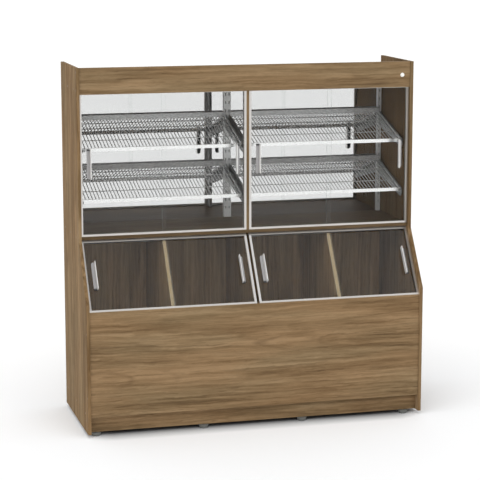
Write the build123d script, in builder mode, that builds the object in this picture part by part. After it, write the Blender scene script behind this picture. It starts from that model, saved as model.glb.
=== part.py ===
from build123d import *
import os
from math import atan2, cos, degrees, radians, sin, tan

# Bread display cabinet, two bays wide. Millimetres, +X right as seen from the
# front, front towards -Y, +Z up. The origin is on the floor under the middle
# of the cabinet.

# ------------------------------------------------------------------ overall
W = 1734.0              # width over the side panels
D = 640.0               # depth of the base
H = 1800.0              # top of the sides and of the fascia
HW = W / 2
YF = -D / 2             # front edge of the base
YB = D / 2              # back edge
T = 16.0                # carcass board
T_THIN = 14.0           # mullion and central partition board
T_DIV = 16.0            # bin divider and front panel board
XI = HW - T             # inner face of a side panel

# side profile: deep base, sloping front, shallower upper part
Y_UP = YF + 188.0       # front edge of the upper part
Z_K2 = 664.0            # where the slope starts
Z_K1 = 944.0            # where the slope ends
Z_SIDE = 18.0           # underside of the side panels
SLOPE = degrees(atan2(Z_K1 - Z_K2, Y_UP - YF))
CA, SA = cos(radians(SLOPE)), sin(radians(SLOPE))

# levels
Z_FLOOR = 103.0         # underside of the bin floor and of the front panel
Z_PLINTH = 20.0         # underside of the plinth
Z_DECK = 952.0          # underside of the deck
Z_DECK_TOP = Z_DECK + T
Z_TOP = 1685.0          # underside of the top panel
Z_FASCIA = 1670.0       # lower edge of the fascia

# depths
Y_FASCIA = -126.0       # front of the fascia
Y_DOOR = Y_FASCIA + T   # front of the upper door tracks
Y_DECK = -112.0         # front edge of the deck
Y_MIRROR = 308.0        # mirror face
MIRROR_T = 4.0
Y_FRONT = -314.0        # face of the front panel
Y_PLINTH = -277.0       # face of the plinth
BACK_T = 16.0           # lower back board
MULLION_DEPTH = 70.0

# double channel for the sliding panes
CH_D = 16.0             # depth of the section, across both panes
CH_WALL = 1.5
CH_SLOT = 5.5
CH_WEB = 2.0
GLASS = 4.0
PANE_1 = CH_WALL + (CH_SLOT - GLASS) / 2                    # front pane, from the section's front
PANE_2 = CH_D - CH_WALL - CH_SLOT + (CH_SLOT - GLASS) / 2   # rear pane
H_BOT = 10.0            # height of the bottom track
H_TOP_UP = 18.0         # top track, upper doors
H_TOP_LID = 16.0        # top track, lids
JAMB_UP = 11.5
JAMB_LID = 11.5

# lid frames, measured along and square to the slope from the start of the slope
LID_R = 24.0            # set back of the frame's face from the panel edges
LID_S0 = -24.7
LID_S1 = 361.0
LID_GAP = 6.5           # half the gap between the two lid frames

# panes: each bay has a front pane on the left and a rear pane on the right
PANE_END = 2.5          # pane edge to the bay's side face
OVERLAP = 20.5
BAYS = {"left": (-XI, -T_THIN / 2), "right": (T_THIN / 2, XI)}

# handles: angle section, plate on the glass and a flange standing out of it.
# The plate ends in a separate end piece, at the top on the doors and at the
# bottom on the lids.
HANDLE_L = 148.0
PLATE_W = 18.5
PLATE_T = 2.0
PLATE_CORNER = 7.0      # cut corner at the plate's free edge
FLANGE_T = 2.5
FLANGE = 28.0
BEAD_R = 1.9            # rolled grip along the flange's front edge
END_L = 9.5             # end piece
END_T = 3.2
END_GAP = 0.05
Z_HANDLE = 1254.5
UP_HANDLES = {"left_a": (-817.5, 1), "left_b": (-60.0, 0), "right_a": (43.0, 1), "right_b": (800.6, 0)}
LID_HANDLES = {"left_a": (-815.0, 1, 90.0), "left_b": (-63.7, 0, 90.0),
               "right_a": (44.0, 1, 84.0), "right_b": (799.7, 0, 93.0)}

# shelves
TILT = 17.5
CT, ST = cos(radians(TILT)), sin(radians(TILT))
SHELF_Z = {"upper": 1399.0, "lower": 1143.5}    # top edge of the front rail
SHELF_Y = -54.0
SHELF_V = 352.0         # length down the slope
SHELF_X0, SHELF_X1 = 14.0, 834.0
RAIL_H = 19.0
BAR_T = 3.0
BACKBAR_UP = 23.5
BACKBAR_DOWN = 5.0
WIRE_D = 4.5
CROSS_D = 4.5
N_WIRES = 46

# slotted uprights
UP_Y = 296.0            # front face
UP_WALL = 1.5
UP_SINGLE = 20.0
UP_DOUBLE = 38.0
SLOT_W, SLOT_H, SLOT_PITCH = 5.0, 14.0, 42.5
COL_OUT = 838.0         # slot column beside a side panel
COL_IN = 9.0            # slot columns of the middle upright

# brackets
BR_T = 2.5
LEDGE = 12.0
LIP_V = 3.3             # front of the ledge's lip, ahead of the shelf's front rail

# levelling feet
FOOT_X = (-819.0, -273.0, 241.0, 787.0)
FOOT_R = 20.5           # at the floor
FOOT_R_TOP = 26.0
FOOT_H = 19.3
STEM_R = 5.0
STEM_TOP = 58.0
FOOT_CLEAR = 0.06

# light
SW_X, SW_Z = 809.0, 1732.0
SW_R = 10.5
SW_BARREL = 7.9
LEAD_X, LEAD_Y = 780.0, -45.0

# carcass screws
SC_R, SC_HEAD_R, SC_HEAD_T, SC_LEN = 2.5, 5.0, 2.0, 48.0
SC_C = 0.05

os.makedirs("parts", exist_ok=True)


def finish(part, name):
    part.label = name
    export_step(part, f"parts/{name}.step")
    print(f"{name}: {len(part.solids())} solid(s), {part.volume / 1000:.1f} cm3")


# ------------------------------------------------- screw positions, as (y, z)
SIDE_SCREWS = {
    "deck": [(-60, Z_DECK + T / 2), (100, Z_DECK + T / 2), (260, Z_DECK + T / 2)],
    "top": [(-50, Z_TOP + T / 2), (120, Z_TOP + T / 2), (280, Z_TOP + T / 2)],
    "floor": [(-250, Z_FLOOR + T / 2), (0, Z_FLOOR + T / 2), (260, Z_FLOOR + T / 2)],
    "fascia": [(Y_FASCIA + T / 2, 1692.0), (Y_FASCIA + T / 2, 1778.0)],
    "front": [(Y_FRONT + T_DIV / 2, 200.0), (Y_FRONT + T_DIV / 2, 520.0)],
    "plinth": [(Y_PLINTH + T / 2, 80.0)],
}
ALL_SCREWS = [p for group in SIDE_SCREWS.values() for p in group]


def end_holes(points):
    """Pilot holes in both ends of a board that runs between the sides."""
    with Locations(*[Location((XI, y, z), (0, 90, 0)) for y, z in points]):
        Hole(radius=SC_R + SC_C, depth=SC_LEN - T + 1)
    with Locations(*[Location((-XI, y, z), (0, -90, 0)) for y, z in points]):
        Hole(radius=SC_R + SC_C, depth=SC_LEN - T + 1)


# ------------------------------------------------------------- side panels
SIDE_PROFILE = [(YF, Z_SIDE), (YB, Z_SIDE), (YB, H), (Y_UP, H), (Y_UP, Z_K1), (YF, Z_K2)]

with BuildPart() as side_panel_left:
    with BuildSketch(Plane.YZ.offset(-HW)):
        with BuildLine():
            Polyline(*SIDE_PROFILE, close=True)
        make_face()
    extrude(amount=T)
    with Locations(*[Location((-HW, y, z), (0, -90, 0)) for y, z in ALL_SCREWS]):
        CounterBoreHole(radius=SC_R + SC_C, counter_bore_radius=SC_HEAD_R + SC_C,
                        counter_bore_depth=SC_HEAD_T, depth=T)
finish(side_panel_left.part, "side_panel_left")

with BuildPart() as side_panel_right:
    with BuildSketch(Plane.YZ.offset(XI)):
        with BuildLine():
            Polyline(*SIDE_PROFILE, close=True)
        make_face()
    extrude(amount=T)
    with Locations(*[Location((HW, y, z), (0, 90, 0)) for y, z in ALL_SCREWS]):
        CounterBoreHole(radius=SC_R + SC_C, counter_bore_radius=SC_HEAD_R + SC_C,
                        counter_bore_depth=SC_HEAD_T, depth=T)
finish(side_panel_right.part, "side_panel_right")

# one screw shape, head outwards, repeated along both sides
with BuildPart() as screw:
    with BuildSketch(Plane.XZ):
        with BuildLine():
            Polyline((0, 0), (SC_HEAD_R, 0), (SC_HEAD_R, -0.6), (SC_HEAD_R - 0.5, -SC_HEAD_T),
                     (SC_R, -SC_HEAD_T), (SC_R, -SC_LEN + 3), (0.4, -SC_LEN), (0, -SC_LEN), close=True)
        make_face()
    revolve(axis=Axis.Z)
    # hexagonal drive recess
    with BuildSketch(Plane.XY):
        RegularPolygon(radius=2.2, side_count=6)
    extrude(amount=-1.4, mode=Mode.SUBTRACT)

with BuildPart() as carcass_screws:
    for y, z in ALL_SCREWS:
        with Locations(Location((-HW, y, z), (0, -90, 0)), Location((HW, y, z), (0, 90, 0))):
            add(screw.part)
finish(carcass_screws.part, "carcass_screws")

# ------------------------------------------------------------- boards
with BuildPart() as top_panel:
    with BuildSketch(Plane.XY.offset(Z_TOP)):
        with Locations((0, (Y_DOOR + YB) / 2)):
            Rectangle(2 * XI, YB - Y_DOOR)
    extrude(amount=T)
    # way for the lamp lead
    with Locations((LEAD_X, LEAD_Y, Z_TOP + T)):
        Hole(radius=10, depth=T)
    end_holes(SIDE_SCREWS["top"])
finish(top_panel.part, "top_panel")

with BuildPart() as header_fascia:
    with BuildSketch(Plane.XZ.offset(-Y_DOOR)):
        with Locations((0, (Z_FASCIA + H) / 2)):
            Rectangle(2 * XI, H - Z_FASCIA)
    extrude(amount=T)
    with Locations(Location((SW_X, Y_FASCIA, SW_Z), (90, 0, 0))):
        Hole(radius=SW_BARREL + 0.2, depth=T)
    end_holes(SIDE_SCREWS["fascia"])
finish(header_fascia.part, "header_fascia")

with BuildPart() as deck_panel:
    with BuildSketch(Plane.XY.offset(Z_DECK)):
        with Locations((0, (Y_DECK + YB) / 2)):
            Rectangle(2 * XI, YB - Y_DECK)
    extrude(amount=T)
    end_holes(SIDE_SCREWS["deck"])
finish(deck_panel.part, "deck_panel")

with BuildPart() as upper_back_panel:
    with BuildSketch(Plane.XY.offset(Z_DECK_TOP)):
        with Locations((0, (Y_MIRROR + MIRROR_T + YB) / 2)):
            Rectangle(2 * XI, YB - Y_MIRROR - MIRROR_T)
    extrude(amount=Z_TOP - Z_DECK_TOP)
finish(upper_back_panel.part, "upper_back_panel")

with BuildPart() as mirror_panel:
    with BuildSketch(Plane.XY.offset(Z_DECK_TOP)):
        with Locations((0, Y_MIRROR + MIRROR_T / 2)):
            Rectangle(2 * XI - 2, MIRROR_T)
    extrude(amount=Z_TOP - Z_DECK_TOP)
finish(mirror_panel.part, "mirror_panel")

with BuildPart() as lower_back_panel:
    with BuildSketch(Plane.XY.offset(Z_PLINTH)):
        with Locations((0, YB - BACK_T / 2)):
            Rectangle(2 * XI, BACK_T)
    extrude(amount=Z_DECK - Z_PLINTH)
finish(lower_back_panel.part, "lower_back_panel")

Y_BACK_IN = YB - BACK_T
with BuildPart() as bin_floor:
    with BuildSketch(Plane.XY.offset(Z_FLOOR)):
        with Locations((0, (Y_FRONT + T_DIV + Y_BACK_IN) / 2)):
            Rectangle(2 * XI, Y_BACK_IN - Y_FRONT - T_DIV)
    extrude(amount=T)
    end_holes(SIDE_SCREWS["floor"])
finish(bin_floor.part, "bin_floor")

def slope_point(s, r):
    """(y, z) at a distance s up the slope and r square into the cabinet."""
    return (YF + s * CA + r * SA, Z_K2 + s * SA - r * CA)


def under_lid_track(y):
    """Height of the bottom lid track's underside at a given depth."""
    y0, z0 = slope_point(LID_S0, LID_R)
    return z0 - (y - y0) * CA / SA


# the top edge of the front panel is bevelled to seat the lid tracks
with BuildPart() as front_panel:
    with BuildSketch(Plane.YZ.offset(-XI)):
        with BuildLine():
            y0, y1 = Y_FRONT, Y_FRONT + T_DIV
            Polyline((y0, Z_FLOOR), (y1, Z_FLOOR), (y1, under_lid_track(y1) - 0.15),
                     (y0, under_lid_track(y0) - 0.15), close=True)
        make_face()
    extrude(amount=2 * XI)
    end_holes(SIDE_SCREWS["front"])
finish(front_panel.part, "front_panel")

with BuildPart() as plinth_board:
    with BuildSketch(Plane.XY.offset(Z_PLINTH)):
        with Locations((0, Y_PLINTH + T / 2)):
            Rectangle(2 * XI, T)
    extrude(amount=Z_FLOOR - Z_PLINTH)
    # bores for the feet in the lower edge
    with Locations(*[Location((x, Y_PLINTH + T / 2, Z_PLINTH), (180, 0, 0)) for x in FOOT_X]):
        Hole(radius=STEM_R + FOOT_CLEAR, depth=STEM_TOP - Z_PLINTH + 3)
    end_holes(SIDE_SCREWS["plinth"])
finish(plinth_board.part, "plinth_board")

with BuildPart() as rear_plinth_rail:
    with BuildSketch(Plane.XY.offset(Z_PLINTH)):
        with Locations((0, Y_BACK_IN - T / 2)):
            Rectangle(2 * XI, T)
    extrude(amount=Z_FLOOR - Z_PLINTH)
    with Locations(*[Location((x, Y_BACK_IN - T / 2, Z_PLINTH), (180, 0, 0)) for x in FOOT_X]):
        Hole(radius=STEM_R + FOOT_CLEAR, depth=STEM_TOP - Z_PLINTH + 3)
finish(rear_plinth_rail.part, "rear_plinth_rail")


# boards that stand between the bins; their front edge follows the slope
def bin_profile(set_back):
    y_in = Y_FRONT + T_DIV
    y0, z0 = slope_point(0, set_back)
    z_front = z0 + (y_in - y0) * SA / CA
    y_top = y0 + (Z_DECK - z0) * CA / SA
    return [(y_in, Z_FLOOR + T), (Y_BACK_IN, Z_FLOOR + T), (Y_BACK_IN, Z_DECK),
            (y_top, Z_DECK), (y_in, z_front)]


with BuildPart() as centre_partition:
    with BuildSketch(Plane.YZ.offset(-T_THIN / 2)):
        with BuildLine():
            Polyline(*bin_profile(LID_R + CH_D + 22), close=True)
        make_face()
    extrude(amount=T_THIN)
finish(centre_partition.part, "centre_partition")

X_DIV = 430.0
with BuildPart() as bin_divider_left:
    with BuildSketch(Plane.YZ.offset(-X_DIV - T_DIV / 2)):
        with BuildLine():
            Polyline(*bin_profile(LID_R + CH_D + 2), close=True)
        make_face()
    extrude(amount=T_DIV)
finish(bin_divider_left.part, "bin_divider_left")

with BuildPart() as bin_divider_right:
    with BuildSketch(Plane.YZ.offset(X_DIV - T_DIV / 2)):
        with BuildLine():
            Polyline(*bin_profile(LID_R + CH_D + 2), close=True)
        make_face()
    extrude(amount=T_DIV)
finish(bin_divider_right.part, "bin_divider_right")

with BuildPart() as mullion_post:
    with BuildSketch(Plane.XY.offset(Z_DECK_TOP)):
        with Locations((0, Y_DOOR + MULLION_DEPTH / 2)):
            Rectangle(T_THIN, MULLION_DEPTH)
    extrude(amount=Z_TOP - Z_DECK_TOP)
finish(mullion_post.part, "mullion_post")


# ------------------------------------------------- tracks of the upper doors
def channel_sketch(height, up=True):
    """Double channel: local x runs from front to back, local y along the wall height."""
    with Locations((CH_D / 2, height / 2)):
        Rectangle(CH_D, height)
    y = height / 2 + (CH_WEB / 2 if up else -CH_WEB / 2)
    with Locations((CH_WALL + CH_SLOT / 2, y), (CH_D - CH_WALL - CH_SLOT / 2, y)):
        Rectangle(CH_SLOT, height - CH_WEB, mode=Mode.SUBTRACT)


with BuildPart() as upper_bottom_tracks:
    for x0, x1 in BAYS.values():
        with BuildSketch(Plane(origin=(x0, Y_DOOR, Z_DECK_TOP), x_dir=(0, 1, 0), z_dir=(1, 0, 0))):
            channel_sketch(H_BOT)
        extrude(amount=x1 - x0)
finish(upper_bottom_tracks.part, "upper_bottom_tracks")

with BuildPart() as upper_top_tracks:
    for x0, x1 in BAYS.values():
        with BuildSketch(Plane(origin=(x0, Y_DOOR, Z_TOP - H_TOP_UP), x_dir=(0, 1, 0), z_dir=(1, 0, 0))):
            channel_sketch(H_TOP_UP, up=False)
        extrude(amount=x1 - x0)
finish(upper_top_tracks.part, "upper_top_tracks")

JAMB_Z0, JAMB_Z1 = Z_DECK_TOP + H_BOT, Z_TOP - H_TOP_UP
with BuildPart() as upper_jambs:
    for x0, x1 in BAYS.values():
        # left jamb opens to +X, right jamb opens to -X
        with BuildSketch(Plane(origin=(x0, Y_DOOR, JAMB_Z0), x_dir=(0, 1, 0), z_dir=(0, 0, -1))):
            channel_sketch(JAMB_UP)
        extrude(amount=-(JAMB_Z1 - JAMB_Z0))
        with BuildSketch(Plane(origin=(x1, Y_DOOR, JAMB_Z0), x_dir=(0, 1, 0), z_dir=(0, 0, 1))):
            channel_sketch(JAMB_UP)
        extrude(amount=JAMB_Z1 - JAMB_Z0)
finish(upper_jambs.part, "upper_jambs")


# ------------------------------------------------- frames of the sloping lids
LID_BAYS = {"left": (-XI, -LID_GAP), "right": (LID_GAP, XI)}


def lid_origin(x, s, r):
    y, z = slope_point(s, r)
    return (x, y, z)


INWARD = (0, SA, -CA)
UPSLOPE = (0, CA, SA)

with BuildPart() as lid_bottom_tracks:
    for x0, x1 in LID_BAYS.values():
        with BuildSketch(Plane(origin=lid_origin(x0, LID_S0, LID_R), x_dir=INWARD, z_dir=(1, 0, 0))):
            channel_sketch(H_BOT)
        extrude(amount=x1 - x0)
finish(lid_bottom_tracks.part, "lid_bottom_tracks")

with BuildPart() as lid_top_tracks:
    for x0, x1 in LID_BAYS.values():
        with BuildSketch(Plane(origin=lid_origin(x0, LID_S1 - H_TOP_LID, LID_R), x_dir=INWARD, z_dir=(1, 0, 0))):
            channel_sketch(H_TOP_LID, up=False)
        extrude(amount=x1 - x0)
finish(lid_top_tracks.part, "lid_top_tracks")

LJ0, LJ1 = LID_S0 + H_BOT, LID_S1 - H_TOP_LID
with BuildPart() as lid_jambs:
    for x0, x1 in LID_BAYS.values():
        with BuildSketch(Plane(origin=lid_origin(x0, LJ0, LID_R), x_dir=INWARD, z_dir=(0, -CA, -SA))):
            channel_sketch(JAMB_LID)
        extrude(amount=-(LJ1 - LJ0))
        with BuildSketch(Plane(origin=lid_origin(x1, LJ0, LID_R), x_dir=INWARD, z_dir=UPSLOPE)):
            channel_sketch(JAMB_LID)
        extrude(amount=LJ1 - LJ0)
finish(lid_jambs.part, "lid_jambs")

# ------------------------------------------------- handles
def draw_handle(face, right, end_up, name):
    """Handle on a pane. face lies on the glass at the handle's lower left corner."""
    x_flange = PLATE_W - FLANGE_T if right else 0.0
    x_free = 0.0 if right else PLATE_W              # free edge of the plate
    inward = 1 if right else -1
    y0, y1 = (0.0, HANDLE_L - END_L - END_GAP) if end_up else (END_L + END_GAP, HANDLE_L)
    cut = PLATE_CORNER
    with BuildPart() as handle:
        with BuildSketch(face):
            with BuildLine():
                far = PLATE_W - x_free
                if end_up:
                    Polyline((far, y0), (x_free + inward * cut, y0), (x_free, y0 + cut), (x_free, y1), (far, y1),
                             close=True)
                else:
                    Polyline((far, y0), (x_free, y0), (x_free, y1 - cut), (x_free + inward * cut, y1), (far, y1),
                             close=True)
            make_face()
        extrude(amount=PLATE_T)
        # the flange runs the full length
        with BuildSketch(face):
            with Locations((x_flange + FLANGE_T / 2, HANDLE_L / 2)):
                Rectangle(FLANGE_T, HANDLE_L)
        extrude(amount=FLANGE - BEAD_R)
        # rolled grip along its front edge
        bead = Plane(origin=face.from_local_coords((x_flange + FLANGE_T / 2, 1.0, FLANGE - BEAD_R)),
                     x_dir=face.x_dir, z_dir=face.y_dir)
        with BuildSketch(bead):
            Circle(BEAD_R)
        extrude(amount=HANDLE_L - 2)
        # end piece of the plate
        e0 = HANDLE_L - END_L if end_up else 0.0
        x_mid = (PLATE_W - FLANGE_T - END_GAP) / 2 if right else (PLATE_W + FLANGE_T + END_GAP) / 2
        with BuildSketch(face):
            with Locations((x_mid, e0 + END_L / 2)):
                RectangleRounded(PLATE_W - FLANGE_T - END_GAP, END_L, radius=1.5)
        extrude(amount=END_T)
    finish(handle.part, name)


# ------------------------------------------------- upper sliding doors
PZ0, PZ1 = Z_DECK_TOP + CH_WEB + 0.5, Z_TOP - H_TOP_UP + 8.5
for bay, (x0, x1) in BAYS.items():
    mid = (x0 + x1) / 2
    spans = {"a": (x0 + PANE_END, mid + OVERLAP / 2, PANE_1), "b": (mid - OVERLAP / 2, x1 - PANE_END, PANE_2)}
    for key, (xa, xb, off) in spans.items():
        yg = Y_DOOR + off
        with BuildPart() as pane:
            with BuildSketch(Plane.XY.offset(PZ0)):
                with Locations(((xa + xb) / 2, yg + GLASS / 2)):
                    Rectangle(xb - xa, GLASS)
            extrude(amount=PZ1 - PZ0)
            chamfer(pane.edges().filter_by(Axis.Z), length=0.4)
        finish(pane.part, f"door_glass_{bay}_{'front' if key == 'a' else 'rear'}")

        hx, right = UP_HANDLES[f"{bay}_{key}"]
        # x across, y up, z out of the glass
        draw_handle(Plane(origin=(hx, yg, Z_HANDLE), x_dir=(1, 0, 0), z_dir=(0, -1, 0)), right, True,
                    f"door_handle_{bay}_{'front' if key == 'a' else 'rear'}")

# ------------------------------------------------- sliding lids over the bins
PS0, PS1 = LID_S0 + CH_WEB + 0.5, LID_S1 - H_TOP_LID + 6.5
for bay, (x0, x1) in LID_BAYS.items():
    mid = sum(BAYS[bay]) / 2
    spans = {"a": (x0 + PANE_END, mid + OVERLAP / 2, PANE_1), "b": (mid - OVERLAP / 2, x1 - PANE_END, PANE_2)}
    for key, (xa, xb, off) in spans.items():
        r = LID_R + off
        face = Plane(origin=lid_origin(0, 0, r), x_dir=(1, 0, 0), z_dir=(0, -SA, CA))
        with BuildPart() as pane:
            with BuildSketch(face):
                with Locations(((xa + xb) / 2, (PS0 + PS1) / 2)):
                    Rectangle(xb - xa, PS1 - PS0)
            extrude(amount=-GLASS)
        finish(pane.part, f"lid_glass_{bay}_{'front' if key == 'a' else 'rear'}")

        hx, right, s0 = LID_HANDLES[f"{bay}_{key}"]
        draw_handle(Plane(origin=lid_origin(hx, s0, r), x_dir=(1, 0, 0), z_dir=(0, -SA, CA)), right, False,
                    f"lid_handle_{bay}_{'front' if key == 'a' else 'rear'}")

# ------------------------------------------------- slotted uprights
UP_Z0, UP_Z1 = Z_DECK_TOP + 1, Z_TOP - 1
# the slots are laid out from the hook of the upper shelf's brackets
HOOK = 18.0             # top of a bracket's upper hook below the bracket's top corner
HOOK_STEP = 42.5
BR_Y = UP_Y - 0.3       # back edge of a bracket


def top_line(level, y):
    return SHELF_Z[level] + (y - SHELF_Y) * tan(radians(TILT))


def slot_heights():
    first = top_line("upper", BR_Y) - HOOK - 4
    out = [first + i * SLOT_PITCH for i in range(-14, 6)]
    # the lower brackets hook in at six pitches below, so their level is set by the slots
    return [z for z in out if UP_Z0 + 14 < z < UP_Z1 - 14]


SLOTS = slot_heights()


def upright(x_mid, width, columns):
    with BuildPart() as bar:
        with BuildSketch(Plane.XY.offset(UP_Z0)):
            with Locations((x_mid, (UP_Y + Y_MIRROR) / 2)):
                Rectangle(width, Y_MIRROR - UP_Y)
            with Locations((x_mid, (UP_Y + UP_WALL + Y_MIRROR) / 2)):
                Rectangle(width - 2 * UP_WALL, Y_MIRROR - UP_Y - UP_WALL, mode=Mode.SUBTRACT)
        extrude(amount=UP_Z1 - UP_Z0)
        with BuildSketch(Plane.XZ.offset(-UP_Y - UP_WALL)):
            with Locations(*[(c, z) for c in columns for z in SLOTS]):
                Rectangle(SLOT_W, SLOT_H)
        extrude(amount=UP_WALL + 1, mode=Mode.SUBTRACT)
    return bar.part


finish(upright(-COL_OUT, UP_SINGLE, [-COL_OUT]), "upright_left")
finish(upright(0, UP_DOUBLE, [-COL_IN, COL_IN]), "upright_centre")
finish(upright(COL_OUT, UP_SINGLE, [COL_OUT]), "upright_right")


# ------------------------------------------------- shelf brackets
def bracket(level, column, inward):
    """Cantilever plate with two hooks at the back and a ledge for the shelf's side bar."""
    z0 = top_line(level, BR_Y)
    hook_top = z0 - HOOK
    nearest = min(SLOTS, key=lambda z: abs(z - (hook_top - 4)))
    lug = []
    for i in (1, 0):
        zc = nearest - i * HOOK_STEP
        lug += [(BR_Y, zc - 5.8), (BR_Y + 2.4, zc - 5.8), (BR_Y + 2.4, zc - 9.3), (BR_Y + 6, zc - 9.3),
                (BR_Y + 6, zc + 2.4), (BR_Y, zc + 2.4)]
    yn = SHELF_Y - 5
    zn = SHELF_Z[level] - 1.5
    outline = [(yn, zn), (yn, zn - 27), (yn + 10, zn - 43), (yn + 22, zn - 43), (BR_Y, z0 - 78)]
    outline += lug + [(BR_Y, z0)]
    with BuildPart() as plate:
        with BuildSketch(Plane.YZ.offset(column - BR_T / 2)):
            with BuildLine():
                Polyline(*outline, close=True)
            make_face()
        extrude(amount=BR_T)
        # ledge along the slope, under the shelf's side bar, with an upturned front lip
        x_in = column + inward * BR_T / 2
        ledge = Plane(origin=(0, SHELF_Y, SHELF_Z[level]), x_dir=(1, 0, 0), z_dir=(0, -ST, CT))
        with BuildSketch(ledge.offset(-RAIL_H - 0.2)):
            with Locations((x_in + inward * (LEDGE / 2 - 0.5), (SHELF_V - 6 - LIP_V) / 2)):
                Rectangle(LEDGE + 1, SHELF_V - 6 + LIP_V)
        extrude(amount=-BR_T)
        with BuildSketch(ledge.offset(-RAIL_H - 0.2 - BR_T)):
            with Locations((x_in + inward * (LEDGE / 2 - 0.5), BR_T / 2 - LIP_V)):
                Rectangle(LEDGE + 1, BR_T)
        extrude(amount=BR_T + 10)
    return plate.part


PLACES = [(-COL_OUT, 1), (-COL_IN, -1), (COL_IN, 1), (COL_OUT, -1)]
with BuildPart() as shelf_brackets:
    for level in SHELF_Z:
        for column, inward in PLACES:
            add(bracket(level, column, inward))
finish(shelf_brackets.part, "shelf_brackets")

# ------------------------------------------------- wire shelves
with BuildPart() as shelf:
    # drawn flat: x across, y up the slope from the front rail, z square to the shelf
    width = SHELF_X1 - SHELF_X0
    with BuildSketch(Plane.XY.offset(-RAIL_H)):
        with Locations((width / 2, SHELF_V / 2)):
            Rectangle(width, SHELF_V)
            Rectangle(width - 2 * BAR_T, SHELF_V - 2 * BAR_T, mode=Mode.SUBTRACT)
    extrude(amount=RAIL_H)
    # the rear side of the frame is shallow
    with BuildSketch(Plane.XY.offset(-RAIL_H)):
        with Locations((width / 2, SHELF_V - BAR_T / 2)):
            Rectangle(width, BAR_T)
    extrude(amount=RAIL_H - BACKBAR_DOWN, mode=Mode.SUBTRACT)
    with BuildSketch(Plane.XY.offset(-1)):
        with Locations((width / 2, SHELF_V - BAR_T / 2)):
            Rectangle(width, BAR_T)
    extrude(amount=BACKBAR_UP + 1)
    fillet(shelf.edges().filter_by(Axis.Y).group_by(Axis.Z)[-1], radius=4)
    # cross wires under the fine wires
    for f in (0.30, 0.70):
        with BuildSketch(Plane.YZ.offset(BAR_T - 1)):
            with Locations((SHELF_V * f, -WIRE_D - CROSS_D / 2 + 0.1)):
                Circle(CROSS_D / 2)
        extrude(amount=width - 2 * BAR_T + 2)
    step = (width - 2 * BAR_T) / (N_WIRES + 1)
    with BuildSketch(Plane.XZ.offset(-BAR_T + 1)):
        with Locations(*[(BAR_T + step * (i + 1), -WIRE_D / 2 - 0.4) for i in range(N_WIRES)]):
            Circle(WIRE_D / 2)
    extrude(amount=-(SHELF_V - 2 * BAR_T + 2))

for level, z in SHELF_Z.items():
    for bay in ("left", "right"):
        x = -SHELF_X1 if bay == "left" else SHELF_X0
        placed = Location((x, SHELF_Y, z), (TILT, 0, 0)) * shelf.part
        finish(placed, f"wire_shelf_{level}_{bay}")

# ------------------------------------------------- lamp under the top panel
LB_Y, LB_W, LB_H, LB_L = 0.0, 30.0, 16.0, 1640.0
with BuildPart() as light_bar_housing:
    with BuildSketch(Plane.YZ.offset(-LB_L / 2)):
        with Locations((LB_Y, Z_TOP - LB_H / 2)):
            Rectangle(LB_W, LB_H)
        with Locations((LB_Y, Z_TOP - LB_H / 2 - 1.5)):
            Rectangle(LB_W - 3, LB_H - 3, mode=Mode.SUBTRACT)
    extrude(amount=LB_L)
    # closed ends
    for x in (-LB_L / 2, LB_L / 2 - 2):
        with BuildSketch(Plane.YZ.offset(x)):
            with Locations((LB_Y, Z_TOP - LB_H / 2)):
                Rectangle(LB_W, LB_H)
        extrude(amount=2)
finish(light_bar_housing.part, "light_bar_housing")

with BuildPart() as light_bar_diffuser:
    with BuildSketch(Plane.YZ.offset(-LB_L / 2 + 2)):
        with Locations((LB_Y, Z_TOP - LB_H + 1.5)):
            Rectangle(LB_W - 3, 3)
    extrude(amount=LB_L - 4)
finish(light_bar_diffuser.part, "light_bar_diffuser")

with BuildPart() as lead_grommet:
    with BuildSketch(Plane.XZ):
        with BuildLine():
            Polyline((5.5, Z_TOP + T + 3), (13, Z_TOP + T + 3), (13, Z_TOP + T), (9.9, Z_TOP + T),
                     (9.9, Z_TOP), (13, Z_TOP), (13, Z_TOP - 3), (5.5, Z_TOP - 3), close=True)
        make_face()
    revolve(axis=Axis.Z)
placed = Location((LEAD_X, LEAD_Y, 0)) * lead_grommet.part
finish(placed, "lead_grommet")

# ------------------------------------------------- light switch in the fascia
with BuildPart() as switch_bezel:
    with BuildSketch(Plane.XY):
        with BuildLine():
            # outline in (radius, distance in front of the fascia)
            Polyline((7.0, -16), (SW_BARREL, -16), (SW_BARREL, 0), (SW_R, 0), (SW_R, 1.2), (SW_R - 1.3, 2.6),
                     (7.0, 2.6), close=True)
        make_face()
    revolve(axis=Axis.Y)
    # closed back of the switch body
    with BuildSketch(Plane.XZ.offset(16)):
        Circle(SW_BARREL)
    extrude(amount=20)
    with BuildSketch(Plane.XZ.offset(36)):
        with Locations((0, 3), (0, -3)):
            Rectangle(4, 1)
    extrude(amount=7)
placed = Location((SW_X, Y_FASCIA, SW_Z)) * Location((0, 0, 0), (0, 0, 180)) * switch_bezel.part
finish(placed, "switch_bezel")

with BuildPart() as switch_button:
    with BuildSketch(Plane.XY):
        with BuildLine():
            Polyline((0, -10), (6.7, -10), (6.7, 3.6), (5.4, 4.8), (0, 5.4), close=True)
        make_face()
    revolve(axis=Axis.Y)
placed = Location((SW_X, Y_FASCIA, SW_Z)) * Location((0, 0, 0), (0, 0, 180)) * switch_button.part
finish(placed, "switch_button")

# ------------------------------------------------- levelling feet
with BuildPart() as foot:
    with BuildSketch(Plane.XZ):
        with BuildLine():
            # widens upwards to a flat top just under the plinth
            Polyline((0, 0), (FOOT_R - 1, 0), (FOOT_R, 1), (FOOT_R_TOP, FOOT_H - 1.2), (FOOT_R_TOP, FOOT_H),
                     (0, FOOT_H), close=True)
        make_face()
    revolve(axis=Axis.Z)
    with BuildSketch(Plane.XY.offset(FOOT_H)):
        Circle(STEM_R)
    extrude(amount=STEM_TOP - FOOT_H)
    chamfer(foot.edges().group_by(Axis.Z)[-1], length=0.8)

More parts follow.
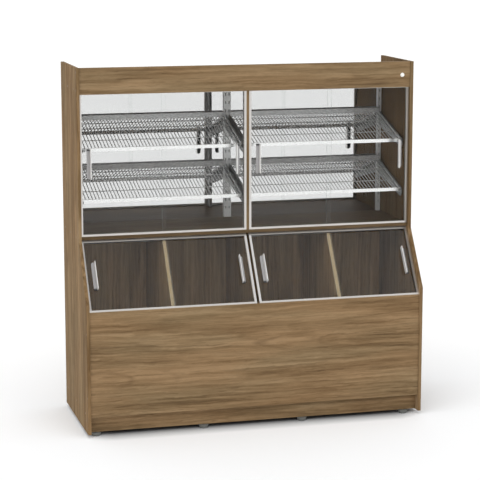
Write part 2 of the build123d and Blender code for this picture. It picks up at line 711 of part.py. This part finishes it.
for row, y in (("front", Y_PLINTH + T / 2), ("rear", Y_BACK_IN - T / 2)):
    for i, x in enumerate(FOOT_X, start=1):
        placed = Location((x, y, 0)) * foot.part
        finish(placed, f"foot_{row}_{i}")
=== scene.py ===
import math

import bpy
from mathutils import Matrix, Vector

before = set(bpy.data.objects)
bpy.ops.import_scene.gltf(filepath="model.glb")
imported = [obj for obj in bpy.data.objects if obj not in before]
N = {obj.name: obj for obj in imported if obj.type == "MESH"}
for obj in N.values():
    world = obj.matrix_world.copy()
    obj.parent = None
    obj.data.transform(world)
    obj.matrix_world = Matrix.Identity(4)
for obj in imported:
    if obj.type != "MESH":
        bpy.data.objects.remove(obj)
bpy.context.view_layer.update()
scene = bpy.context.scene


# ------------------------------------------------------------------ node help
class Tree:
    """A material's node tree with short calls. Sockets are given by name or as (node, output)."""

    def __init__(self, name):
        self.mat = bpy.data.materials.new(name)
        self.mat.use_nodes = True
        self.nt = self.mat.node_tree
        self.nt.nodes.clear()
        self.out = self.nt.nodes.new("ShaderNodeOutputMaterial")
        self.bsdf = self.nt.nodes.new("ShaderNodeBsdfPrincipled")
        self.link(self.bsdf.outputs["BSDF"], self.out.inputs["Surface"])
        self.coord = self.nt.nodes.new("ShaderNodeTexCoord").outputs["Object"]

    def link(self, a, b):
        self.nt.links.new(a, b)

    def put(self, socket, value):
        if isinstance(value, bpy.types.NodeSocket):
            self.link(value, socket)
        else:
            socket.default_value = value

    def set(self, **values):
        for key, value in values.items():
            self.put(self.bsdf.inputs[key.replace("_", " ")], value)

    def node(self, kind, **props):
        n = self.nt.nodes.new(kind)
        for k, v in props.items():
            setattr(n, k, v)
        return n

    def mapping(self, vector=None, scale=(1, 1, 1), loc=(0, 0, 0), rot=(0, 0, 0)):
        n = self.node("ShaderNodeMapping")
        self.link(vector or self.coord, n.inputs["Vector"])
        n.inputs["Scale"].default_value = scale
        n.inputs["Location"].default_value = loc
        n.inputs["Rotation"].default_value = rot
        return n.outputs["Vector"]

    def noise(self, vector, scale=1.0, detail=4.0, rough=0.5, distortion=0.0, colour=False):
        n = self.node("ShaderNodeTexNoise")
        self.link(vector, n.inputs["Vector"])
        n.inputs["Scale"].default_value = scale
        n.inputs["Detail"].default_value = detail
        n.inputs["Roughness"].default_value = rough
        n.inputs["Distortion"].default_value = distortion
        return n.outputs["Color" if colour else "Fac"]

    def ramp(self, fac, stops, mode="LINEAR"):
        n = self.node("ShaderNodeValToRGB")
        n.color_ramp.interpolation = mode
        e = n.color_ramp.elements
        while len(e) > 1:
            e.remove(e[-1])
        for i, (pos, col) in enumerate(stops):
            c = col if isinstance(col, (tuple, list)) else (col, col, col)
            el = e[0] if i == 0 else e.new(pos)
            el.position = pos
            el.color = (*c[:3], 1.0)
        self.link(fac, n.inputs["Fac"])
        return n.outputs["Color"]

    def math(self, op, a, b=0.0, c=None, clamp=False):
        n = self.node("ShaderNodeMath", operation=op, use_clamp=clamp)
        self.put(n.inputs[0], a)
        self.put(n.inputs[1], b)
        if c is not None:
            self.put(n.inputs[2], c)
        return n.outputs[0]

    def vmath(self, op, a, b=(0, 0, 0), out=0):
        n = self.node("ShaderNodeVectorMath", operation=op)
        self.put(n.inputs[0], a)
        self.put(n.inputs[1], b)
        return n.outputs["Value"] if out == "Value" else n.outputs[out]

    def mix(self, fac, a, b, blend="MIX"):
        n = self.node("ShaderNodeMix", data_type="RGBA", blend_type=blend)
        self.put(n.inputs["Factor"], fac)
        ia = [s for s in n.inputs if s.name == "A" and s.type == "RGBA"][0]
        ib = [s for s in n.inputs if s.name == "B" and s.type == "RGBA"][0]
        for s, v in ((ia, a), (ib, b)):
            if isinstance(v, bpy.types.NodeSocket):
                self.link(v, s)
            else:
                s.default_value = (*v[:3], 1.0)
        return [s for s in n.outputs if s.type == "RGBA"][0]

    def range(self, value, a, b, c, d, clamp=True):
        n = self.node("ShaderNodeMapRange", clamp=clamp)
        self.put(n.inputs["Value"], value)
        for key, v in zip(("From Min", "From Max", "To Min", "To Max"), (a, b, c, d)):
            n.inputs[key].default_value = v
        return n.outputs["Result"]

    def bump(self, height, strength=0.2, distance=0.001):
        n = self.node("ShaderNodeBump")
        n.inputs["Strength"].default_value = strength
        n.inputs["Distance"].default_value = distance
        self.link(height, n.inputs["Height"])
        self.link(n.outputs["Normal"], self.bsdf.inputs["Normal"])
        return n

    def normal(self):
        return self.node("ShaderNodeNewGeometry").outputs["Normal"]


# ------------------------------------------------------------------ materials
WOOD_LINE = (0.098, 0.060, 0.029)
WOOD_LOW = (0.150, 0.097, 0.048)
WOOD_MID = (0.212, 0.142, 0.074)
WOOD_HIGH = (0.285, 0.198, 0.110)
EDGE_BAND = (0.56, 0.405, 0.20)


def wood(name, grain="X", seed=0.0, tone=1.0, contrast=1.0, band=None, band_tone=1.0, rough=0.52, gloss=0.12, inner=None, reverse=None):
    """Wood-grain laminate. grain is the axis along which the figure runs; band is the direction of edges in pale
    banding;
    inner is the direction of a face painted paler and cooler low down, where it lines a bin: painted light from the
    bin's opening; reverse is the way back from the front face, the only face of the piece not painted plain grey: the
    grey is painted shade."""
    t = Tree(name)
    L = {"X": 0, "Y": 1, "Z": 2}[grain]

    def scaled(along, across, shift, vector=None):
        s = [across] * 3
        s[L] = along
        return t.mapping(vector, scale=s, loc=(seed * 3.17 + shift, seed * 1.31 - shift, seed * 2.23 + shift * 0.7))

    # the figure wanders gently across the grain
    slow = t.noise(scaled(0.9, 1.6, 0.0), 1.0, 2.0, 0.5, colour=True)
    quick = t.noise(scaled(7.0, 15.0, 5.0), 1.0, 3.0, 0.55, colour=True)
    push = t.vmath("ADD",
                   t.vmath("MULTIPLY", t.vmath("SUBTRACT", slow, (0.5, 0.5, 0.5)), (0.055,) * 3),
                   t.vmath("MULTIPLY", t.vmath("SUBTRACT", quick, (0.5, 0.5, 0.5)), (0.017,) * 3))
    p = t.vmath("ADD", t.coord, push)

    broad = t.noise(scaled(0.85, 13.0, 1.0, p), 1.0, 3.0, 0.55)
    streak = t.noise(scaled(2.1, 66.0, 7.0, p), 1.0, 5.0, 0.68)
    fine = t.noise(scaled(11.0, 300.0, 13.0, p), 1.0, 4.0, 0.65)
    # long thin dark veins, coming and going
    vein = t.range(t.noise(scaled(1.5, 105.0, 21.0, p), 1.0, 2.0, 0.45), 0.32, 0.42, 1.0, 0.0)
    keep = t.range(t.noise(scaled(2.2, 7.0, 31.0), 1.0, 2.0, 0.5), 0.44, 0.60, 0.10, 1.0)
    vein = t.math("MULTIPLY", vein, keep)
    # a few cathedral lines: contours of a slow field, so that they run together and part again
    field = t.noise(scaled(0.62, 4.4, 41.0, p), 1.0, 1.0, 0.4)
    rings = t.range(t.math("PINGPONG", t.math("MULTIPLY", field, 15.0), 0.5), 0.0, 0.12, 1.0, 0.0)
    where = t.range(t.noise(scaled(1.2, 4.0, 51.0), 1.0, 1.5, 0.5), 0.47, 0.62, 0.0, 1.0)
    rings = t.math("MULTIPLY", rings, where)

    v = t.math("ADD", t.math("MULTIPLY", broad, 0.38), t.math("MULTIPLY", streak, 0.62))
    v = t.math("ADD", t.math("MULTIPLY", t.math("SUBTRACT", v, 0.5), 1.25 * contrast), 0.5)
    c = t.ramp(v, [(0.28, WOOD_LINE), (0.39, WOOD_LOW), (0.50, WOOD_MID), (0.64, WOOD_HIGH)])
    c = t.mix(t.math("MULTIPLY", vein, 0.62 * contrast), c, WOOD_LINE)
    c = t.mix(t.math("MULTIPLY", rings, 0.46 * contrast), c, WOOD_LINE)
    pores = t.range(fine, 0.33, 0.60, 0.80, 1.14)
    c = t.mix(1.0, c, t.ramp(pores, [(0.0, 0.0), (1.0, 1.0)]), "MULTIPLY")
    # slightly warmer and cooler patches, as on printed wood decor
    cast = t.range(t.noise(scaled(1.6, 9.0, 61.0), 1.0, 2.0, 0.5), 0.35, 0.65, 0.0, 1.0)
    c = t.mix(cast, t.mix(1.0, c, (1.06, 0.985, 0.93), "MULTIPLY"), t.mix(1.0, c, (1.00, 1.00, 0.985), "MULTIPLY"))
    if tone != 1.0:
        c = t.mix(1.0, c, (tone, tone, tone), "MULTIPLY")
    if inner is not None:
        # painted light: a face lining a bin is painted paler and cooler below 0.96 m, as lit through the bin's opening
        facing = t.vmath("DOT_PRODUCT", t.normal(), inner, out="Value")
        sep = t.node("ShaderNodeSeparateXYZ")
        t.link(t.coord, sep.inputs[0])
        low = t.math("MULTIPLY", t.range(facing, 0.7, 0.8, 0.0, 1.0), t.math("LESS_THAN", sep.outputs["Z"], 0.96))
        c = t.mix(low, c, t.mix(1.0, c, (1.55, 1.62, 1.80), "MULTIPLY"))
    if band is not None:
        facing = t.vmath("DOT_PRODUCT", t.normal(), band, out="Value")
        mask = t.range(facing, 0.75, 0.85, 0.0, 1.0)
        speck = t.ramp(fine, [(0.3, [x * 0.82 * band_tone for x in EDGE_BAND]), (0.7, [x * band_tone for x in EDGE_BAND])])
        c = t.mix(mask, c, speck)
    if reverse is not None:
        # painted shade: every face but the front one is painted plain grey, for its sides and rear in shade
        facing = t.vmath("DOT_PRODUCT", t.normal(), reverse, out="Value")
        c = t.mix(t.range(facing, -0.8, -0.7, 0.0, 1.0), c, t.ramp(fine, [(0.3, (0.36, 0.36, 0.358)), (0.7, (0.44, 0.44, 0.438))]))
    t.set(Base_Color=c)
    t.bsdf.inputs["IOR"].default_value = 1.45
    t.bsdf.inputs["Specular IOR Level"].default_value = gloss
    t.set(Roughness=t.range(streak, 0.3, 0.7, rough + 0.07, rough - 0.05))
    t.bump(t.math("ADD", t.math("MULTIPLY", fine, 0.6), t.math("MULTIPLY", streak, 0.6)), 0.25, 0.0004)
    return t.mat


def fibreboard(name):
    t = Tree(name)
    a = t.noise(t.mapping(scale=(9, 9, 9)), 1.0, 6.0, 0.6)
    b = t.noise(t.mapping(scale=(420, 420, 420)), 1.0, 3.0, 0.7)
    c = t.ramp(t.math("ADD", t.math("MULTIPLY", a, 0.5), t.math("MULTIPLY", b, 0.5)),
               [(0.3, (0.27, 0.19, 0.115)), (0.5, (0.36, 0.26, 0.165)), (0.72, (0.43, 0.32, 0.215))])
    t.set(Base_Color=c, Roughness=t.range(b, 0.3, 0.7, 0.75, 0.6))
    t.bump(b, 0.3, 0.0004)
    return t.mat


def mirror(name):
    t = Tree(name)
    smear = t.noise(t.mapping(scale=(2.2, 2.2, 3.4)), 1.0, 5.0, 0.6, 0.6)
    wide = t.noise(t.mapping(scale=(0.9, 0.9, 0.9)), 1.0, 3.0, 0.5)
    t.set(Base_Color=t.ramp(wide, [(0.3, (0.698, 0.694, 0.693)), (0.7, (0.722, 0.719, 0.717))]), Metallic=1.0)
    t.set(Roughness=t.range(smear, 0.45, 0.85, 0.0, 0.004))
    return t.mat


def glass(name, face, ior):
    """Clear float glass; its cut edges show green."""
    t = Tree(name)
    facing = t.math("ABSOLUTE", t.vmath("DOT_PRODUCT", t.normal(), face, out="Value"))
    edge = t.range(facing, 0.5, 0.6, 1.0, 0.0)
    cloud = t.noise(t.mapping(scale=(3.0, 3.0, 3.0)), 1.0, 3.0, 0.5)
    clear = t.ramp(cloud, [(0.3, (0.975, 0.982, 0.978)), (0.7, (0.985, 0.990, 0.987))])
    t.set(Base_Color=t.mix(edge, clear, (0.40, 0.50, 0.48)), Transmission_Weight=1.0, IOR=ior)
    t.set(Roughness=t.range(edge, 0.0, 1.0, 0.0, 0.3))
    return t.mat


def aluminium(name, base, rough, grain="X", brush=0.5, middle=None):
    """Brushed aluminium; middle is the paler colour painted on the profiles at the cabinet's middle, a painted
    highlight.
    """
    t = Tree(name)
    s = [520.0] * 3
    s[{"X": 0, "Y": 1, "Z": 2}[grain]] = 6.0
    fine = t.noise(t.mapping(scale=s), 1.0, 4.0, 0.6)
    wide = t.noise(t.mapping(scale=(3, 7, 5)), 1.0, 3.0, 0.5)
    c = t.ramp(t.math("ADD", t.math("MULTIPLY", fine, 0.7), t.math("MULTIPLY", wide, 0.3)),
               [(0.3, [x * 0.90 for x in base]), (0.7, base)])
    if middle is not None:
        sep = t.node("ShaderNodeSeparateXYZ")
        t.link(t.coord, sep.inputs[0])
        near = t.math("LESS_THAN", t.math("ABSOLUTE", sep.outputs["X"]), 0.1)
        # painted highlight: profiles within 0.1 m of the middle get the paler colour
        c = t.mix(near, c, t.ramp(fine, [(0.3, [x * 0.93 for x in middle]), (0.7, middle)]))
    t.set(Base_Color=c, Metallic=1.0)
    t.set(Roughness=t.range(fine, 0.25, 0.75, rough - 0.07, rough + 0.08))
    t.bump(fine, 0.12 * brush, 0.0002)
    return t.mat


def handle(name, out, face, along, ends):
    """Satin aluminium angle: brushed plate on the glass painted darker than the pale flange, painted shade on the plate
    and a painted highlight on the flange; a dark band painted across the plate at one end, painted shade.

    out and face give the glass plane, along and ends the stretch of the plate painted dark at one end."""
    t = Tree(name)
    depth = t.math("SUBTRACT", t.vmath("DOT_PRODUCT", t.coord, out, out="Value"), face)
    plate = t.range(depth, 0.0023, 0.0028, 1.0, 0.0)
    u = t.vmath("DOT_PRODUCT", t.coord, along, out="Value")
    near = t.range(depth, 0.0034, 0.0036, 1.0, 0.0)
    inside = t.math("MULTIPLY", t.math("GREATER_THAN", u, ends[0]), t.math("LESS_THAN", u, ends[1]))
    painted_end_shade = t.math("MULTIPLY", near, inside)
    fine = t.noise(t.mapping(scale=(480, 60, 20)), 1.0, 4.0, 0.6)
    wide = t.noise(t.mapping(scale=(30, 30, 12)), 1.0, 3.0, 0.5)
    mixv = t.math("ADD", t.math("MULTIPLY", fine, 0.6), t.math("MULTIPLY", wide, 0.4))
    flange_c = t.ramp(mixv, [(0.3, (0.80, 0.785, 0.765)), (0.7, (0.90, 0.885, 0.865))])
    plate_c = t.ramp(mixv, [(0.3, (0.325, 0.318, 0.318)), (0.7, (0.395, 0.386, 0.386))])
    # painted shade and highlight: on one aluminium angle the plate is painted darker and the flange paler
    c = t.mix(plate, flange_c, plate_c)
    # the side bonded to the glass is left unbrushed and pale
    bonded = t.range(t.vmath("DOT_PRODUCT", t.normal(), out, out="Value"), -0.8, -0.7, 1.0, 0.0)
    c = t.mix(bonded, c, t.ramp(wide, [(0.3, (0.66, 0.65, 0.64)), (0.7, (0.74, 0.73, 0.72))]))
    # painted shade: a near-black band across the plate at one end, where the angle sits in shade
    c = t.mix(painted_end_shade, c, (0.045, 0.044, 0.043))
    t.set(Base_Color=c, Metallic=t.math("MULTIPLY", t.math("SUBTRACT", 1.0, painted_end_shade), 0.35))
    t.set(Roughness=t.range(fine, 0.25, 0.75, 0.34, 0.48))
    t.bump(fine, 0.08, 0.0002)
    return t.mat


def coated(name, base, rough, metal=0.0, dusty=0.1):
    """Powder coat: faint orange-peel, slightly dulled on top."""
    t = Tree(name)
    peel = t.noise(t.mapping(scale=(700, 700, 700)), 1.0, 2.0, 0.5)
    wide = t.noise(t.mapping(scale=(8, 8, 8)), 1.0, 4.0, 0.55)
    up = t.range(t.vmath("DOT_PRODUCT", t.normal(), (0, 0, 1), out="Value"), 0.2, 1.0, 0.0, dusty)
    c = t.ramp(wide, [(0.3, [x * 0.93 for x in base]), (0.7, base)])
    c = t.mix(up, c, [x * 0.85 + 0.02 for x in base])
    t.set(Base_Color=c, Metallic=metal)
    t.set(Roughness=t.range(wide, 0.3, 0.7, rough - 0.05, rough + 0.06))
    t.bump(peel, 0.08, 0.0002)
    return t.mat


def plastic(name, base, rough, speck=0.04):
    t = Tree(name)
    wide = t.noise(t.mapping(scale=(40, 40, 40)), 1.0, 4.0, 0.55)
    pores = t.noise(t.mapping(scale=(900, 900, 900)), 1.0, 2.0, 0.5)
    t.set(Base_Color=t.ramp(wide, [(0.3, [x * (1 - speck) for x in base]), (0.7, base)]))
    t.set(Roughness=t.range(wide, 0.3, 0.7, rough - 0.05, rough + 0.08))
    t.bump(pores, 0.10, 0.0002)
    return t.mat


def show(node, material):
    slots = N[node].material_slots
    for s in slots:
        s.material = material
    if not slots:
        N[node].data.materials.append(material)


CA, SA = 0.557446, 0.830214
SLOPE_OUT = (0.0, -SA, CA)
SLOPE_UP = (0.0, CA, SA)

show("side_panel_left", wood("wood_side_left", "Z", 1.0, tone=1.03, contrast=1.15, gloss=0.012, inner=(1, 0, 0)))
# painted shade: the right side panel is toned down to 0.82, for the side turned away from the light
show("side_panel_right", wood("wood_side_right", "Z", 2.0, tone=0.82, gloss=0.02, inner=(-1, 0, 0)))
show("header_fascia", wood("wood_fascia", "X", 3.0))
show("front_panel", wood("wood_front", "X", 4.0))
# painted light: the recessed plinth is toned up to 1.11 against the shade under the front panel
show("plinth_board", wood("wood_plinth", "X", 5.0, tone=1.11))
# painted shade: the deck's wood is toned down to 0.53 for the dark inside of the upper case
show("deck_panel", wood("wood_deck", "X", 6.0, tone=0.53))
show("top_panel", wood("wood_top", "X", 7.0))
show("bin_floor", wood("wood_bin_floor", "X", 8.0))
show("rear_plinth_rail", wood("wood_rear_rail", "X", 9.0))
# painted light: the boards lining the bins are toned up (1.6 and 1.35), as lit through the lids
show("lower_back_panel", wood("wood_lower_back", "Z", 10.0, tone=1.6))
# painted shade: the centre partition's front edge banding is painted near black (band_tone 0.10), for its deep slot
# between the lids
show("centre_partition", wood("wood_partition", "Z", 11.0, tone=1.35, band=SLOPE_OUT, band_tone=0.10))
show("bin_divider_left", wood("wood_divider_left", "Z", 12.0, tone=1.6, band=SLOPE_OUT))
show("bin_divider_right", wood("wood_divider_right", "Z", 13.0, tone=1.6, band=SLOPE_OUT))
# painted shade: the post is toned down to 0.85 and painted grey on all faces but the front, for its rear in shade
show("mullion_post", wood("wood_mullion", "Z", 14.0, tone=0.85, reverse=(0, 1, 0)))
show("upper_back_panel", fibreboard("back_board"))
show("mirror_panel", mirror("mirror_silver"))

DOOR_GLASS = glass("glass_door", (0, 1, 0), 1.18)
LID_GLASS = glass("glass_lid", SLOPE_OUT, 1.27)
# distance of each glass face from the origin, and the stretch of the painted dark band at the plate's end
DOOR_FACE = {"front": 0.10775, "rear": 0.10025}
LID_FACE = {"front": 0.609564, "rear": 0.602064}
LID_SHADE_BAND = {"left_front": 0.090, "left_rear": 0.090, "right_front": 0.084, "right_rear": 0.093}
for bay in ("left", "right"):
    for place in ("front", "rear"):
        show(f"door_glass_{bay}_{place}", DOOR_GLASS)
        show(f"lid_glass_{bay}_{place}", LID_GLASS)
        show(f"door_handle_{bay}_{place}",
             handle(f"handle_door_{bay}_{place}", (0, -1, 0), DOOR_FACE[place], (0, 0, 1), (1.39295, 1.41)))
        s0 = LID_SHADE_BAND[f"{bay}_{place}"] + 0.372875
        show(f"lid_handle_{bay}_{place}",
             handle(f"handle_lid_{bay}_{place}", SLOPE_OUT, LID_FACE[place], SLOPE_UP, (s0 - 0.001, s0 + 0.00953)))

TRACK = (0.66, 0.635, 0.605)
TRACK_X = aluminium("track_long", TRACK, 0.36, "X")
TRACK_Z = aluminium("track_upright", TRACK, 0.36, "Z")
for n in ("upper_bottom_tracks", "upper_top_tracks"):
    show(n, TRACK_X)
# painted highlight: the lids' bottom tracks get a paler base (0.90) than the same profile elsewhere, for their bright
# reflection
show("lid_bottom_tracks", aluminium("track_lid_lower", (0.90, 0.865, 0.82), 0.36, "X"))
show("lid_top_tracks", aluminium("track_lid_upper", (0.68, 0.655, 0.625), 0.38, "X"))
show("upper_jambs", TRACK_Z)
# painted highlight: the middle lid jambs are painted near white
show("lid_jambs", aluminium("jamb_sloping", TRACK, 0.36, "Z", middle=(0.97, 0.95, 0.92)))

STEEL = coated("steel_grey", (0.74, 0.74, 0.735), 0.42, metal=0.1)
for n in ("upright_left", "upright_centre", "upright_right"):
    show(n, STEEL)
# painted shade: the brackets are painted far darker (0.30) than the uprights of the same steel
show("shelf_brackets", coated("bracket_grey", (0.30, 0.30, 0.295), 0.38, metal=0.25))


def wire_shelf(name, z0):
    """Zinc-plated shelf: front rail painted bright and more metallic, a painted highlight; wires duller; side bars and
    back strip painted grey, painted shade. z0 is the height of the rail's top edge.
    """
    t = Tree(name)
    fine = t.noise(t.mapping(scale=(60, 600, 600)), 1.0, 3.0, 0.6)
    wide = t.noise(t.mapping(scale=(9, 9, 9)), 1.0, 3.0, 0.55)
    v = t.math("ADD", t.math("MULTIPLY", fine, 0.6), t.math("MULTIPLY", wide, 0.4))
    sep = t.node("ShaderNodeSeparateXYZ")
    t.link(t.coord, sep.inputs[0])
    u = t.math("ADD", t.math("MULTIPLY", t.math("ADD", sep.outputs["Y"], 0.054), 0.953717),
               t.math("MULTIPLY", t.math("SUBTRACT", sep.outputs["Z"], z0), 0.300706))
    rail = t.math("LESS_THAN", u, 0.0033)
    back = t.math("GREATER_THAN", u, 0.3487)
    x = t.math("ABSOLUTE", sep.outputs["X"])
    side = t.math("MAXIMUM", t.math("LESS_THAN", x, 0.0172), t.math("GREATER_THAN", x, 0.8308))
    c = t.ramp(v, [(0.3, (0.55, 0.55, 0.545)), (0.7, (0.65, 0.65, 0.645))])
    # painted shade: the side bars are painted darker grey than the wires
    c = t.mix(side, c, t.ramp(v, [(0.3, (0.33, 0.33, 0.328)), (0.7, (0.42, 0.42, 0.418))]))
    # painted shade: the back strip is painted darker, for the shade at the back under the top
    c = t.mix(back, c, t.ramp(v, [(0.3, (0.49, 0.49, 0.488)), (0.7, (0.61, 0.61, 0.608))]))
    # painted highlight: the front rail is painted near white and made more metallic
    c = t.mix(rail, c, t.ramp(v, [(0.3, (0.94, 0.94, 0.935)), (0.7, (0.99, 0.99, 0.985))]))
    t.set(Base_Color=c, Metallic=t.math("ADD", 0.35, t.math("MULTIPLY", rail, 0.55)))
    t.set(Roughness=t.range(fine, 0.3, 0.7, 0.22, 0.32))
    t.bump(fine, 0.06, 0.0002)
    return t.mat


for level, z0 in (("upper", 1.399), ("lower", 1.1435)):
    finish = wire_shelf(f"shelf_zinc_{level}", z0)
    for bay in ("left", "right"):
        show(f"wire_shelf_{level}_{bay}", finish)

show("light_bar_housing", aluminium("lamp_housing", TRACK, 0.4, "X"))
show("light_bar_diffuser", plastic("lamp_opal", (0.86, 0.86, 0.84), 0.45))
show("lead_grommet", plastic("grommet_rubber", (0.03, 0.03, 0.03), 0.7))
WHITE = plastic("switch_white", (0.90, 0.89, 0.85), 0.25, 0.02)
show("switch_bezel", WHITE)
show("switch_button", WHITE)
show("carcass_screws", coated("screw_brown", (0.17, 0.112, 0.058), 0.45, metal=0.0))
FOOT = plastic("foot_grey", (0.150, 0.152, 0.142), 0.55, 0.1)
for row in ("front", "rear"):
    for i in range(1, 5):
        show(f"foot_{row}_{i}", FOOT)


# ------------------------------------------------------------------ stage
def floor():
    me = bpy.data.meshes.new("floor")
    s = 160.0
    me.from_pydata([(-s, -s, 0), (s, -s, 0), (s, s, 0), (-s, s, 0)], [], [(0, 1, 2, 3)])
    o = bpy.data.objects.new("floor", me)
    scene.collection.objects.link(o)
    t = Tree("floor_pale")
    a = t.noise(t.mapping(scale=(0.5, 0.5, 0.5)), 1.0, 3.0, 0.5)
    pale = t.ramp(a, [(0.3, (0.956, 0.960, 0.964)), (0.7, (0.963, 0.967, 0.971))])
    # distance from the plinth's outline: a cooler tint painted near the wood to cancel its warm bounce light, and a
    # painted contact shadow where the two nearly meet
    sep = t.node("ShaderNodeSeparateXYZ")
    t.link(t.coord, sep.inputs[0])
    dx = t.math("MAXIMUM", t.math("SUBTRACT", t.math("ABSOLUTE", sep.outputs["X"]), 0.72), 0.0)
    dy = t.math("MAXIMUM", t.math("SUBTRACT", t.math("ABSOLUTE", sep.outputs["Y"]), 0.24), 0.0)
    d = t.math("SQRT", t.math("ADD", t.math("MULTIPLY", dx, dx), t.math("MULTIPLY", dy, dy)))
    pale = t.mix(t.range(d, 0.1, 1.3, 1.0, 0.0), pale, t.mix(1.0, pale, (0.992, 1.0, 1.009), "MULTIPLY"))
    # painted contact shadow: the floor's colour darkens to 0.27 at the plinth's outline and clears within 0.15 m
    shade = t.range(d, 0.0, 0.15, 0.27, 1.0)
    t.set(Base_Color=t.mix(1.0, pale, t.ramp(shade, [(0.0, 0.0), (1.0, 1.0)]), "MULTIPLY"), Roughness=0.9)
    t.bsdf.inputs["Specular IOR Level"].default_value = 0.1
    me.materials.append(t.mat)


floor()

world = bpy.data.worlds.new("studio")
scene.world = world
world.use_nodes = True
wt = world.node_tree
bg = wt.nodes["Background"]
# white all round at eye level, dimmer overhead
aim = wt.nodes.new("ShaderNodeTexCoord")
part = wt.nodes.new("ShaderNodeSeparateXYZ")
fall = wt.nodes.new("ShaderNodeMapRange")
fall.interpolation_type = "SMOOTHSTEP"
wt.links.new(aim.outputs["Generated"], part.inputs[0])
wt.links.new(part.outputs["Z"], fall.inputs["Value"])
for key, value in (("From Min", 0.28), ("From Max", 0.66), ("To Min", 1.0), ("To Max", 0.68)):
    fall.inputs[key].default_value = value
bg.inputs["Color"].default_value = (1.0, 1.0, 1.0, 1.0)
wt.links.new(fall.outputs["Result"], bg.inputs["Strength"])

sun = bpy.data.lights.new("key", "SUN")
sun.energy = 1.4
sun.angle = math.radians(70)
key = bpy.data.objects.new("key", sun)
scene.collection.objects.link(key)
key.rotation_euler = Vector((0.25, 0.55, -1.0)).to_track_quat("-Z", "Y").to_euler()
key.visible_glossy = False

# ------------------------------------------------------------------ camera
cam_data = bpy.data.cameras.new("camera")
cam_data.sensor_fit = "HORIZONTAL"
cam_data.sensor_width = 36.0
cam_data.lens = 132.64
cam_data.clip_end = 400.0
cam = bpy.data.objects.new("camera", cam_data)
scene.collection.objects.link(cam)
cam.location = (-2.3218, -8.5959, 2.4772)
cam.rotation_euler = (math.pi / 2 - 0.1758, 0.0, -0.2626)
scene.camera = cam

scene.view_settings.view_transform = "Standard"
scene.view_settings.look = "None"
scene.cycles.max_bounces = 36
scene.cycles.transmission_bounces = 32
scene.cycles.glossy_bounces = 10
scene.cycles.diffuse_bounces = 4
